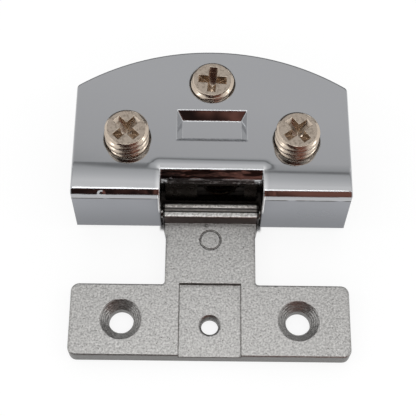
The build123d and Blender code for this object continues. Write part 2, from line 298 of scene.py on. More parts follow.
def wheel_relief(add, place, door_place, distance, behind_lip):
    """The chrome's normal: edges broken by the wheel, the low forms that it leaves, and the plating's own relief."""
    parts = add("SeparateXYZ", door_place).node.outputs
    near_gap = add("Math.SUBTRACT", 1.0, add("Math.DIVIDE", distance, GAP_ROUNDING))
    rounding = add("Math.POWER", add("Math.MAXIMUM", near_gap, 0.0), 2.0)
    edge_share = add("MapRange", parts["Y"], EDGE_BACK, EDGE_BACK + EDGE_ROUNDING, 1.0, 0.0)
    edge_curve = add("Math.POWER", edge_share, 2.0)
    twist = add("Math.MULTIPLY", parts["X"], parts["Y"])
    waves = add("TexNoise", {"Vector": place, "Scale": per_metre(16), "Detail": 1.0})
    peel = add("TexNoise", {"Vector": place, "Scale": per_metre(1.6), "Detail": 2.0})
    drawn_out = add("VectorMath.MULTIPLY", place, (0.3, 1.0, 1.0))
    dents = add("TexNoise", {"Vector": drawn_out, "Scale": per_metre(0.9), "Detail": 2.0})
    lip_dents = add("Math.MULTIPLY", dents, behind_lip)
    blisters = 0.0
    for spot, reach in BLISTERS:
        apart = add("VectorMath.DISTANCE", door_place, spot, take="Value")
        blisters = add("Math.ADD", add("MapRange", apart, reach, 0.2 * reach, **SMOOTH), blisters)

    normal = add("Bevel", 0.38 * MM, samples=12)
    for relief, depth in (
        (rounding, -0.175 * MM),
        (edge_curve, -0.023 * MM),
        (twist, -0.6),
        (waves, 0.03 * MM),
        (peel, 0.0006 * MM),
        (lip_dents, 0.05 * MM),
        (blisters, 0.22 * MM),
    ):
        normal = add("Bump", {"Height": relief, "Strength": 1.0, "Distance": depth, "Normal": normal})
    return normal


def polished_chrome(colour, tumbled_shade_colour):
    """Bright chrome, electroplated over a polished zinc casting.

    The eye sees a mirror whose reflections bend a little: the polishing wheel leaves low waves a centimetre or
    so long, twists the face plate slightly and rounds it down towards the knuckle's gap and the hinge edge, and
    the plating has a faint orange peel and two blisters. Sharp edges are broken by the wheel and catch a bright
    line, and the gap's edges carry a painted white highlight. Under the polished band the hinge side is only
    tumbled, so duller, and it is painted a darker grey as shade, darker still towards its foot, with a patchy
    painted line of shade along its top. The gap's far wall carries painted dark reflections in runs, and inside
    the gap it is painted dark as shade. The gap's foot is drawn as no metal, though the real one is, because a
    metal mirrors the white floor at a grazing angle.
    """
    material, add, place = new_material("chrome_plated_zinc_polished")

    # place in the door's own axes
    along = add("SeparateXYZ", place)
    from_pin = add("VectorMath.SUBTRACT", place, pin_point)
    across = add("VectorMath.DOT_PRODUCT", from_pin, across_clamp, take="Value")
    height = add("VectorMath.DOT_PRODUCT", from_pin, out_of_plate, take="Value")
    sideways = add("Math.ABSOLUTE", along)

    # the gap: distance to its far wall and corners, all of it, and its far wall alone. in_gap is painted dark as
    # shade; it has no limit across the clamp, so it also takes in the clamp's back between the ears, which should be
    # chrome.
    past_side = add("Math.MAXIMUM", add("Math.SUBTRACT", sideways, GAP_HALF_WIDTH), 0.0)
    past_wall = add("Math.MAXIMUM", add("Math.SUBTRACT", across, GAP_WALL), 0.0)
    distance = add("VectorMath.LENGTH", add("CombineXYZ", past_side, past_wall), take="Value")
    between_ears = add("MapRange", sideways, GAP_HALF_WIDTH + 0.04 * MM, GAP_HALF_WIDTH + 0.01 * MM, **SMOOTH)
    in_gap = add("MapRange", height, LIP_UNDERSIDE, LIP_UNDERSIDE - 0.1 * MM, **SMOOTH)
    in_gap = add("Math.MULTIPLY", between_ears, in_gap)
    behind_lip = add("MapRange", across, GAP_WALL + 0.1 * MM, GAP_WALL, **SMOOTH)
    behind_lip = add("Math.MULTIPLY", between_ears, behind_lip)

    # the tumbled side, duller and painted darker as shade, a patchy painted line of shade along its top, and its
    # foot painted darker still as shade
    on_side = add("MapRange", across, NEAR_FACE + 0.3 * MM, NEAR_FACE + 0.15 * MM, **SMOOTH)
    under_band = add("MapRange", height, BAND_FOOT + 0.02 * MM, BAND_FOOT - 0.04 * MM, **SMOOTH)
    tumbled_and_shaded = add("Math.MULTIPLY", on_side, under_band)
    # painted shade: the hinge side darker towards its foot
    heel_shade = add("Math.MULTIPLY", tumbled_and_shaded, add("MapRange", height, BAND_FOOT, -2.0 * MM, **SMOOTH))
    # painted shade: a patchy dark line along the top of the hinge side, just under the polished band
    shade_line_top = add("MapRange", height, BAND_FOOT - 0.65 * MM, BAND_FOOT - 0.35 * MM, **SMOOTH)
    patches = add("TexNoise", {"Vector": place, "Scale": per_metre(2.5), "Detail": 3.0})
    shade_line = add("Math.MULTIPLY", shade_line_top, add("MapRange", patches, 0.35, 0.5, **SMOOTH))
    shade_line = add("Math.MULTIPLY", shade_line, tumbled_and_shaded)

    # painted white highlights on the gap's edges: upright ones on the side, and the rim in the face plate
    ear_edge = add("MapRange", sideways, GAP_HALF_WIDTH + 0.45 * MM, GAP_HALF_WIDTH + 0.3 * MM, **SMOOTH)
    ear_edge = add("Math.MULTIPLY", ear_edge, add("MapRange", height, 3.0 * MM, 5.0 * MM, **SMOOTH))
    rim = add("MapRange", distance, 1.1 * MM, 0.1 * MM, **SMOOTH)
    rim = add("Math.MULTIPLY", rim, add("MapRange", height, 11.0 * MM, 11.4 * MM, **SMOOTH))
    edge_highlight = add("Math.MAXIMUM", add("Math.MULTIPLY", ear_edge, on_side), add("Math.MULTIPLY", rim, 0.45))
    edge_highlight = add("Math.MULTIPLY", edge_highlight, add("Math.SUBTRACT", 1.0, between_ears))

    # painted dark reflections in runs along the far wall, and its foot darker in blotches
    drawn_out = add("VectorMath.MULTIPLY", place, (0.22, 1.0, 1.0))
    runs = add("TexNoise", {"Vector": drawn_out, "Scale": per_metre(0.8), "Detail": 2.0})
    dark_reflection_runs = add("Math.MULTIPLY", behind_lip, add("MapRange", runs, 0.52, 0.44, **SMOOTH))
    blotches = add("TexNoise", {"Vector": place, "Scale": per_metre(0.5), "Detail": 2.0})
    lip_foot = add("MapRange", height, LIP_FOOT + 0.1 * MM, LIP_FOOT - 0.2 * MM, **SMOOTH)
    lip_foot = add("Math.MULTIPLY", lip_foot, add("MapRange", blotches, 0.7, 0.45, **SMOOTH))
    lip_foot = add("Math.MULTIPLY", lip_foot, behind_lip)

    tone = srgb(colour)
    for mask, strength, other in (
        # painted shade: the whole hinge side a little darker, and its tumbled part fully this darker grey
        (on_side, 0.35, tumbled_shade_colour),
        (tumbled_and_shaded, 1.0, tumbled_shade_colour),
        # painted shade, darker towards the foot
        (heel_shade, 0.6, "#66686C"),
        # painted line of shade under the polished band
        (shade_line, 1.0, "#45423F"),
        # painted white highlight on the gap's edges
        (edge_highlight, 0.9, "#FFFFFF"),
        # painted dark reflection on the far wall
        (dark_reflection_runs, 0.85, "#231C1A"),
        (lip_foot, 0.85, "#3A3532"),
        # painted shade inside the gap
        (in_gap, 1.0, "#3E3A37"),
    ):
        tone = add("MixRGB", add("Math.MULTIPLY", mask, strength), tone, srgb(other))

    haze = add("TexNoise", {"Vector": place, "Scale": per_metre(5), "Detail": 4.0})
    rough = add("MapRange", haze, *NOISE_SPAN, 0.035, 0.075)
    dull = add("Math.MULTIPLY", add("Math.MAXIMUM", tumbled_and_shaded, in_gap), 0.2)
    # the gap's foot is drawn as no metal, so that with its painted dark colour it shows as shade, not as a mirror of
    # the floor
    no_metal_foot = add("Math.MULTIPLY", in_gap, add("MapRange", height, 3.5 * MM, 2.0 * MM, **SMOOTH))
    sockets = {
        "Base Color": tone,
        "Metallic": add("Math.SUBTRACT", 1.0, no_metal_foot),
        "Specular IOR Level": 0.0,
        "Roughness": add("Math.ADD", rough, dull),
        "Normal": wheel_relief(add, place, add("CombineXYZ", along, across, height), distance, behind_lip),
    }
    add("OutputMaterial", add("BsdfPrincipled", sockets))
    return material


def satin_cast_nickel(colour):
    """Nickel plating over a zinc casting as it leaves the die, tumbled but not polished.

    The eye sees a grey satin metal with a fine bright and dark grain, shallow lumps from the die's wall and a
    few dark pores. The real grain is about 0.1 mm; it is drawn at 0.35 mm so that it shows. Tumbling dirt stays
    along the edges and in the ejector's mark, and the countersinks keep the drill's rings. The steep sides are
    painted duller and darker as shade, brownish along the knuckle's step. The knuckle carries painted highlights
    on its ledge and crown, and painted shade in its notch, past its crown and at its ends.
    """
    material, add, place = new_material("satin_nickel_on_cast_zinc")
    grain, lumps, stains, blots = (
        add("TexNoise", {"Vector": place, "Scale": per_metre(size_mm), "Detail": detail})
        for size_mm, detail in ((0.35, 3.0), (1.5, 2.0), (0.9, 3.0), (0.5, 2.0))
    )
    pores = add("TexVoronoi", {"Vector": place, "Scale": per_metre(1.1), "Randomness": 1.0})
    pore = add("MapRange", pores, 0.14, 0.06, **SMOOTH)
    parts = add("SeparateXYZ", place).node.outputs
    sideways, across = add("Math.ABSOLUTE", parts["X"]), parts["Y"]

    # edges, where a rounded normal leaves the flat one
    flat = add("NewGeometry", take="True Normal")
    rounded = add("Bevel", 0.28 * MM, samples=8)
    agree = add("VectorMath.DOT_PRODUCT", rounded, flat, take="Value")
    edge = add("MapRange", agree, 0.985, 0.86, **SMOOTH)
    edge = add("Math.MULTIPLY", edge, add("MapRange", stains, 0.3, 0.6, **SMOOTH))
    # painted shade: steep faces are drawn darker
    upright_shade = add("MapRange", add("SeparateXYZ", flat, take="Z"), 0.6, 0.3, **SMOOTH)

    # the ejector's mark, a nick beside it, and the drill's rings in the two countersinks
    from_mark = add("VectorMath.DISTANCE", place, EJECTOR_MARK, take="Value")
    ring = add("MapRange", from_mark, 1.7 * MM, 1.85 * MM, **SMOOTH)
    ring = add("Math.MULTIPLY", ring, add("MapRange", from_mark, 2.08 * MM, 1.95 * MM, **SMOOTH))
    ring = add("Math.MULTIPLY", ring, add("MapRange", stains, 0.36, 0.6, **SMOOTH))
    from_nick = add("VectorMath.DISTANCE", place, NICK, take="Value")
    nick = add("MapRange", from_nick, 0.55 * MM, 0.3 * MM, **SMOOTH)
    nick = add("Math.MULTIPLY", nick, add("MapRange", grain, 0.45, 0.5, **SMOOTH))
    from_hole = add("CombineXYZ", add("Math.SUBTRACT", sideways, SCREW_HOLE_X), across)
    radial = add("VectorMath.LENGTH", from_hole, take="Value")
    drilled = add("MapRange", radial, 3.8 * MM, 3.7 * MM, **SMOOTH)
    wobble = add("Math.MULTIPLY", stains, 9.0)
    rings = add("Math.SINE", add("Math.MULTIPLY_ADD", radial, 2 * pi / (0.34 * MM), wobble))
    rings = add("Math.MULTIPLY", rings, drilled)

    # the knuckle's bands: painted highlights on the ledge and the crown, painted shade in the notch and past the
    # crown
    bands = {
        name: add("MapRange", across, pin_point.y + start * MM, pin_point.y + full * MM, **SMOOTH)
        for name, (start, full) in KNUCKLE_BANDS.items()
    }
    notch = add("Math.MULTIPLY", bands["notch"], add("Math.SUBTRACT", 1.0, bands["crown"]))
    past_notch = add("Math.SUBTRACT", across, pin_point.y + KNUCKLE_BANDS["crown"][0] * MM)
    past_notch = add("Math.MAXIMUM", past_notch, 0.0)
    specks = add("Math.MULTIPLY", bands["ledge"], add("MapRange", blots, 0.52, 0.42, **SMOOTH))
    # painted shade at the knuckle's ends
    ends = add("Math.MULTIPLY", bands["step"], add("MapRange", sideways, 8.4 * MM, 8.55 * MM, **SMOOTH))

    tint = add("MapRange", grain, *NOISE_SPAN, 0.6, 1.22)
    tone = add("HueSaturation", {"Color": srgb(colour), "Value": tint})
    for mask, strength, other in (
        # painted highlights on the ledge and the crown, painted shade in the notch and past the crown
        (bands["ledge"], 0.75, "#E4E3E0"),
        (notch, 0.85, "#423D39"),
        (bands["crown"], 1.0, "#EDEBE7"),
        (bands["beyond"], 0.85, "#26221F"),
        (specks, 0.45, "#7D7773"),
        # painted shade on the steep sides, brownish along the knuckle's step
        (upright_shade, 0.8, "#555351"),
        (add("Math.MULTIPLY", upright_shade, bands["step"]), 0.6, "#57423E"),
        (drilled, 0.1, "#605C59"),
        (pore, 0.8, "#5B5753"),
        (ring, 0.38, "#4F4B48"),
        (nick, 0.7, "#3B3431"),
        (edge, 0.9, "#40372F"),
        # painted shade at the knuckle's ends
        (ends, 0.9, "#1E1A18"),
    ):
        tone = add("MixRGB", add("Math.MULTIPLY", mask, strength), tone, srgb(other))
    normal = rounded
    for relief, depth in ((lumps, 0.03 * MM), (grain, 0.03 * MM), (rings, 0.02 * MM), (past_notch, 0.6)):
        normal = add("Bump", {"Height": relief, "Strength": 1.0, "Distance": depth, "Normal": normal})
    rough = add("Math.MULTIPLY_ADD", bands["crown"], 0.25, 0.4)
    sockets = {"Base Color": tone, "Metallic": 1.0, "Roughness": rough, "Normal": normal}
    add("OutputMaterial", add("BsdfPrincipled", sockets))
    return material


def bright_nickel(colour):
    """Bright nickel plating over turned steel.

    The eye sees a warm, slightly yellow mirror with a soft haze. The pressed face is uneven, with marks of the
    punch about half a millimetre apart and darker hollows between them. The turned thread is smooth.
    """
    material, add, place = new_material("bright_nickel_on_turned_steel")
    facing = add("VectorMath.DOT_PRODUCT", add("TexCoord", take="Normal"), out_of_plate, take="Value")
    on_face = add("MapRange", facing, 0.8, 0.95, **SMOOTH)
    level = 0.6
    marks = add("TexNoise", {"Vector": place, "Scale": per_metre(0.55), "Detail": 3.0})
    dents = add("Math.MULTIPLY_ADD", add("Math.SUBTRACT", marks, level), on_face, level)
    hollow = add("MapRange", dents, 0.52, 0.36, **SMOOTH)
    tone = add("MixRGB", add("Math.MULTIPLY", hollow, 0.38), srgb(colour), srgb("#6F6153"))
    haze = add("TexNoise", {"Vector": place, "Scale": per_metre(1.4), "Detail": 3.0})
    rough = add("MapRange", haze, *NOISE_SPAN, 0.14, 0.3)
    rounded = add("Bevel", 0.12 * MM, samples=6)
    normal = add("Bump", {"Height": dents, "Strength": 1.0, "Distance": 0.035 * MM, "Normal": rounded})
    sockets = {"Base Color": tone, "Metallic": 1.0, "Roughness": rough, "Normal": normal}
    add("OutputMaterial", add("BsdfPrincipled", sockets))
    return material


def ground_steel(colour):
    """Bare steel, ground and lightly oiled: a dull grey with fine lines along its length."""
    material, add, place = new_material("ground_steel_oiled")
    drawn_out = add("Mapping", {"Vector": place, "Scale": (0.05, 1.0, 1.0)})
    sockets = {"Base Color": srgb(colour), "Metallic": 1.0}
    grained_surface(add, drawn_out, 0.15, 2.0, (0.25, 0.42), 0.004 * MM, sockets)
    return material


def steel_painted_for_pocket_shade(colour):
    """Oiled spring steel, painted near black as the deep pocket's shade, with a warm glint where the oil lies
    thicker.
    """
    material, add, place = new_material("spring_steel_painted_dark")
    sockets = {"Base Color": srgb(colour), "Metallic": 1.0}
    grained_surface(add, place, 0.8, 4.0, (0.18, 0.4), 0.01 * MM, sockets)
    return material


def zinc_plating(colour):
    """Clear zinc plating on rolled steel: pale blue grey, with a soft mottle."""
    material, add, place = new_material("zinc_plated_sheet_steel")
    sockets = {"Base Color": srgb(colour), "Metallic": 1.0}
    grained_surface(add, place, 2.0, 4.0, (0.28, 0.45), 0.005 * MM, sockets)
    return material


def moulded_rubber(colour):
    """Soft black rubber from a spark-eroded mould: no shine, and a fine even grain."""
    material, add, place = new_material("moulded_black_rubber")
    sockets = {"Base Color": srgb(colour), "IOR": 1.52}
    grained_surface(add, place, 0.25, 2.0, (0.62, 0.8), 0.02 * MM, sockets)
    return material


def finish_node(node, material):
    """Gives a CAD node its material."""
    mesh = frame["nodes"][node].data
    mesh.materials.clear()
    mesh.materials.append(material)


# ---------------------------------------------------------------------- pieces
def link_piece(name, data, body, material, *nodes):
    """Puts a new piece into the scene, on the body that carries it, in place of the named CAD nodes."""
    piece = bpy.data.objects.new(name, data)
    bpy.context.scene.collection.objects.link(piece)
    data.materials.append(material)
    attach(piece, body)
    if nodes:
        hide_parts(*nodes)
    return piece


def mesh_from(name, build, sharp_angle=radians(35)):
    """A mesh made by build(bm), smooth except over its sharp edges."""
    bm = bmesh.new()
    build(bm)
    bmesh.ops.remove_doubles(bm, verts=bm.verts, dist=WELD)
    bmesh.ops.recalc_face_normals(bm, faces=bm.faces)
    for face in bm.faces:
        face.smooth = True
    for edge in bm.edges:
        edge.smooth = len(edge.link_faces) != 2 or edge.calc_face_angle() < sharp_angle
    mesh = bpy.data.meshes.new(name)
    bm.to_mesh(mesh)
    bm.free()
    return mesh


def thread_height(phase):
    """Height of a rolled thread, from 0 at its root to 1 at its crest, over one pitch."""
    root_share, flank_share = 0.15, 0.65  # of each half pitch; the rest is the flat crest
    ramp = 1 - abs(2 * (phase % 1.0) - 1)
    share = min(1.0, max(0.0, (ramp - root_share) / flank_share))
    return share * share * (3 - 2 * share)


def thread_ring(bm, around, z, pitch, root, rise, limit=inf):
    """A ring of vertices at height z on a thread that rises from its root radius, within a limit."""
    ring = []
    for index in range(around):
        angle = 2 * pi * index / around
        reach = min(root + rise * thread_height(-z / pitch + index / around), limit)
        ring.append(bm.verts.new((reach * cos(angle), reach * sin(angle), z)))
    return ring


def join_rings(bm, rings):
    """Quads between each ring of vertices and the next."""
    for lower, upper in zip(rings, rings[1:]):
        for index in range(len(lower)):
            following = (index + 1) % len(lower)
            bm.faces.new((lower[index], lower[following], upper[following], upper[index]))


def build_set_screw(bm, radius, length, sizes):
    """A set screw with its face at z = 0: threaded side, flat face, and a driver's cross that narrows inwards."""
    around, rings_per_turn = 96, 16
    depth = sizes.thread_depth
    tip = radius - 0.9 * depth
    steps = ceil(length / (sizes.pitch / rings_per_turn))
    rings = []
    for step in range(steps + 1):
        z = -length + length * step / steps
        cones = min(sizes.face_radius - z, tip + (z + length))  # 45 degrees, at the face and at the tip
        rings.append(thread_ring(bm, around, z, sizes.pitch, radius - depth, depth, cones))
    join_rings(bm, rings)
    bm.faces.new(reversed(rings[0]))

    # driver's cross: stations along each wing, from its outer end to the middle. A wing's foot is narrower than
    # its mouth, starts one step in and down at the outer end, and falls on a curve to the point in the middle.
    half_span = sizes.cross_span / 2
    half_wing = sizes.cross_wing / 2
    foot_wing = 0.82 * half_wing
    end_step = 0.25 * MM
    point = 0.3 * MM
    curve = 0.8
    stations = 6
    for quarter in range(4):
        turn = Matrix.Rotation(quarter * pi / 2, 3, "Z")
        left_top, left_foot, right_top, right_foot = [], [], [], []
        for station in range(stations + 1):
            share = station / stations
            reach_top = half_wing + (half_span - half_wing) * (1 - share)
            reach_foot = foot_wing + (half_span - end_step - foot_wing) * (1 - share)
            drop = end_step + (sizes.cross_depth - end_step) * share**curve
            left_top.append(bm.verts.new(turn @ Vector((reach_top, half_wing, 0))))
            right_top.append(bm.verts.new(turn @ Vector((reach_top, -half_wing, 0))))
            left_foot.append(bm.verts.new(turn @ Vector((reach_foot, foot_wing, -drop))))
            right_foot.append(bm.verts.new(turn @ Vector((reach_foot, -foot_wing, -drop))))
        for here in range(stations):
            inner = here + 1
            bm.faces.new((left_top[here], left_top[inner], left_foot[inner], left_foot[here]))
            bm.faces.new((right_top[inner], right_top[here], right_foot[here], right_foot[inner]))
            bm.faces.new((left_foot[here], left_foot[inner], right_foot[inner], right_foot[here]))
        bm.faces.new((left_top[0], left_foot[0], right_foot[0], right_top[0]))
        middle = bm.verts.new((0, 0, -sizes.cross_depth - point))
        bm.faces.new((left_foot[-1], right_foot[-1], middle))
    bmesh.ops.remove_doubles(bm, verts=bm.verts, dist=WELD)

    # flat face between the cross's mouth and the chamfer
    open_edges = [edge for edge in bm.edges if len(edge.link_faces) == 1]
    rim_edges = [edge for edge in open_edges if min(vertex.co.z for vertex in edge.verts) > -WELD]
    bmesh.ops.triangle_fill(bm, use_beauty=True, use_dissolve=False, edges=rim_edges)


def build_tapped_thread(bm, radius, length, sizes):
    """The thread inside a tapped hole whose mouth is at z = 0: a skin of ridges that stand in from the bore."""
    around, rings_per_turn, run_out = 72, 12, 8
    root = radius + 0.02 * MM
    steps = ceil(length / (sizes.pitch / rings_per_turn))
    rings = []
    for step in range(steps + 1):
        ridge = (root - radius + sizes.ridge) * min(1.0, step / run_out, (steps - step) / run_out)
        rings.append(thread_ring(bm, around, -length * step / steps, sizes.pitch, root, -ridge))
    join_rings(bm, rings)


def build_spring(bm, low, high, sizes):
    """A compression spring with closed ends that fills a box along y, in the door's own axes."""
    wire_radius = sizes.wire / 2
    coil_radius = (high.x - low.x) / 2 - wire_radius
    length = high.y - low.y - sizes.wire
    middle = (low + high) / 2
    turns = sizes.turns + 2 * sizes.closed_share
    flat = sizes.closed_share / turns
    rings_per_turn, sides = 24, 10
    steps = ceil(turns * rings_per_turn)
    rings = []
    for step in range(steps + 1):
        share = step / steps
        rise = min(1.0, max(0.0, (share - flat) / (1 - 2 * flat)))
        angle = 2 * pi * turns * share
        outward = Vector((cos(angle), 0, sin(angle)))
        centre = Vector((middle.x, low.y + wire_radius + length * rise, middle.z)) + coil_radius * outward
        ring = []
        for side in range(sides):
            turn = 2 * pi * side / sides
            spoke = cos(turn) * outward + sin(turn) * Vector((0, 1, 0))
            ring.append(bm.verts.new(centre + wire_radius * spoke))
        rings.append(ring)
    join_rings(bm, rings)
    bm.faces.new(rings[0])
    bm.faces.new(rings[-1])


def half_moon(node, corner_radius, corner_steps):
    """Outline of a half-moon plate from its CAD node, in the door's own axes, with rounded corners."""
    low, high = door_box(node)
    half_width = high.x
    at_side = 0.02 * MM

    # The straight sides end where the arc begins, a little past the CAD node's highest point there.
    corners = [into_door @ vertex.co for vertex in frame["nodes"][node].data.vertices]
    side = max(corner.y for corner in corners if corner.x > half_width - at_side) + 0.6 * corner_radius
    rise = high.y - side
    arc_radius = (half_width**2 + rise**2) / (2 * rise)
    centre = high.y - arc_radius

    rounded = []
    for step in range(corner_steps + 1):
        angle = pi / 2 * step / corner_steps
        inward, upward = corner_radius * (1 - sin(angle)), corner_radius * (1 - cos(angle))
        rounded.append((half_width - inward, low.y + upward))
    arc_steps = 40
    sweep = atan2(half_width - 0.5 * corner_radius, side - centre)
    arc = []
    for step in range(arc_steps + 1):
        angle = sweep * (1 - 2 * step / arc_steps)
        arc.append((arc_radius * sin(angle), centre + arc_radius * cos(angle)))
    return rounded + arc + [(-x, y) for x, y in reversed(rounded)], low.z, high.z


def build_pad(bm, outline, low, high, edge_round):
    """A flat pad with a rounded rim, in the door's own axes."""
    middle = Vector((0, (min(y for x, y in outline) + max(y for x, y in outline)) / 2))
    turns = (90, 60, 30, 0)
    rings = []
    for face, way, order in ((low, 1, turns), (high, -1, turns[::-1])):
        for turn in order:
            inward = edge_round * (1 - cos(radians(turn)))
            z = face + way * edge_round * (1 - sin(radians(turn)))
            ring = []
            for x, y in outline:
                towards = (middle - Vector((x, y))).normalized() * inward
                ring.append(bm.verts.new((x + towards.x, y + towards.y, z)))
            rings.append(ring)
    join_rings(bm, rings)
    bm.faces.new(rings[0])
    bm.faces.new(rings[-1])


# ------------------------------------------------------------------- operators
class HINGE_OT_clamp(bpy.types.Operator):
    """Chrome finish on the clamp body"""

    bl_idname = "hinge.clamp"
    bl_label = "Clamp Body"

    def execute(self, context):
        colours = context.scene.hinge.colours
        finish_node("clamp_body", polished_chrome(colours.chrome, colours.tumbled_and_shaded))
        return {"FINISHED"}


class HINGE_OT_arm(bpy.types.Operator):
    """Satin cast finish on the mounting arm, and the thread in its tapped hole"""

    bl_idname = "hinge.arm"
    bl_label = "Mounting Arm"

    def execute(self, context):
        settings = context.scene.hinge
        satin = satin_cast_nickel(settings.colours.cast_nickel)
        finish_node("mounting_arm", satin)
        hole = next(mount for mount in frame["record"]["mounts"] if mount["name"] == "adjust_thread")
        radius = hole["dims"]["r_mm"] * MM
        length = hole["dims"]["length_mm"] * MM
        sizes = settings.tapped_hole
        mesh = mesh_from("adjust_hole_thread", lambda bm: build_tapped_thread(bm, radius, length, sizes))
        mesh.transform(Matrix.Translation((hole["pos_m"][0], hole["pos_m"][1], length)))
        link_piece("adjust_hole_thread", mesh, "arm", satin)
        return {"FINISHED"}


class HINGE_OT_set_screws(bpy.types.Operator):
    """The three threaded set screws"""

    bl_idname = "hinge.set_screws"
    bl_label = "Set Screws"

    def execute(self, context):
        settings = context.scene.hinge
        plated = bright_nickel(settings.colours.nickel)
        for side, turn in zip(("left", "right", "top"), settings.screws.turns):
            node = f"clamp_screw_{side}"
            low, high = door_box(node)
            radius = (high.x - low.x) / 2
            length = high.z - low.z
            mesh = mesh_from(f"set_screw_{side}", lambda bm: build_set_screw(bm, radius, length, settings.screws))
            seat = Matrix.Translation(((low.x + high.x) / 2, (low.y + high.y) / 2, high.z))
            mesh.transform(door @ seat @ Matrix.Rotation(turn, 4, "Z"))
            screw = link_piece(f"set_screw_{side}", mesh, f"{side}_screw", plated, node)
            soften = screw.modifiers.new("edge_break", "BEVEL")
            soften.width = settings.screws.edge_break
            soften.segments = 2
            soften.limit_method = "ANGLE"
            soften.angle_limit = radians(40)
            soften.harden_normals = True
        return {"FINISHED"}


class HINGE_OT_latch(bpy.types.Operator):
    """The latch plate, its wound spring and the pivot pin"""

    bl_idname = "hinge.latch"
    bl_label = "Latch and Pin"

    def execute(self, context):
        settings = context.scene.hinge
        # near black, as painted shade of the pocket
        pocket_shaded = steel_painted_for_pocket_shade(settings.colours.pocket_shade_steel)
        finish_node("latch_plate", pocket_shaded)
        finish_node("pivot_pin", ground_steel(settings.colours.steel))
        low, high = door_box("latch_spring")
        mesh = mesh_from("latch_spring_coil", lambda bm: build_spring(bm, low, high, settings.spring))
        mesh.transform(door)
        spring = link_piece("latch_spring_coil", mesh, "latch", pocket_shaded, "latch_spring")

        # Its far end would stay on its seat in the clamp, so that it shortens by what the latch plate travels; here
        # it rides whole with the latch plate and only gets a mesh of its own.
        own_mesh(spring)
        return {"FINISHED"}


class HINGE_OT_glass_grip(bpy.types.Operator):
    """The pressure plate and the two rubber pads that hold the glass"""

    bl_idname = "hinge.glass_grip"
    bl_label = "Pressure Plate and Pads"

    def execute(self, context):
        settings = context.scene.hinge
        finish_node("pressure_plate", zinc_plating(settings.colours.zinc))
        rubber = moulded_rubber(settings.colours.rubber)
        sizes = settings.pads
        for node, body in (("face_pad", "clamp"), ("pressure_pad", "pressure")):
            outline, low, high = half_moon(node, sizes.corner_radius, sizes.corner_steps)
            mesh = mesh_from(f"{node}_moulded", lambda bm: build_pad(bm, outline, low, high, sizes.edge_round))
            mesh.transform(door)
            link_piece(f"{node}_moulded", mesh, body, rubber, node)
        return {"FINISHED"}


# The back wall's glow along its arc, which polished metal shows as painted reflections: degrees over the back
# horizon, and colour. A darker band in the glow stands for a batten across it.
# Then its distance from the pin, half its width, and the steps of its bend.
BACK_WALL = (
    (0, "#5A5B5D"),
    (36, "#77787A"),
    (47, "#DDDDDE"),
    (54, "#DCDCDD"),
    (59.0, "#D2D2D3"),
    (61.0, "#BABBBC"),
    (61.85, "#868788"),
    (62.35, "#8E8F90"),
    (63.35, "#CACBCC"),
    (66.5, "#DEDFE0"),
    (71, "#FFFFFF"),
)
WALL_DISTANCE = 0.5
WALL_HALF_WIDTH = 0.45
WALL_STEPS = 24

# The dark curtain before the hinge, a card that glows and is seen only in reflections: where it stands, its height
# and lean, half its width at the foot and at the top, and its glow's colours from left to right: near black, and
# then a warmer brown.
CURTAIN_FOOT = -28 * MM
CURTAIN_HEIGHT = 0.3
CURTAIN_LEAN = radians(10)
CURTAIN_HALF_WIDTHS = (55 * MM, 140 * MM)
CURTAIN_COLOURS = ((-8 * MM, "#261D1B"), (24 * MM, "#895D52"))

# The floor reaches this far from the hinge, and lies this much under it.
FLOOR_REACH = 1.2
FLOOR_DROP = 0.02 * MM

# Soft boxes: where each stands from the pin, its side, and its power.
LAMPS = {
    "soft_box_left": ((-0.5, -0.05, 0.45), 0.12, 0.2),
    "soft_box_right": ((0.5, -0.05, 0.45), 0.12, 0.2),
    "soft_box_top": ((0.0, 0.026, 0.5), 0.18, 0.25),
}


class HINGE_OT_stage(bpy.types.Operator):
    """Pale floor, studio cards, soft light and the camera"""

    bl_idname = "hinge.stage"
    bl_label = "Stage"

    def execute(self, context):
        settings = context.scene.hinge.stage
        build_floor(settings.floor_colour)
        build_back_wall()
        build_curtain()
        build_world(settings.room_light)
        build_lamps()
        build_camera(context.scene, settings)
        context.scene.view_settings.view_transform = "Standard"
        return {"FINISHED"}


def stage_sheet(name, rows, material):
    """A flat or bent sheet of the stage through rows of points."""
    bm = bmesh.new()
    rows = [[bm.verts.new(point) for point in row] for row in rows]
    for lower, upper in zip(rows, rows[1:]):
        bm.faces.new((lower[0], lower[1], upper[1], upper[0]))
    mesh = bpy.data.meshes.new(name)
    bm.to_mesh(mesh)
    bm.free()
    mesh.materials.append(material)
    sheet = bpy.data.objects.new(name, mesh)
    bpy.context.scene.collection.objects.link(sheet)
    return sheet


def reflected_only(card):
    """A studio card that polished metal shows, and that neither hides the hinge nor shades the floor."""
    card.visible_camera = False
    card.visible_diffuse = False
    card.visible_transmission = False
    card.visible_shadow = False


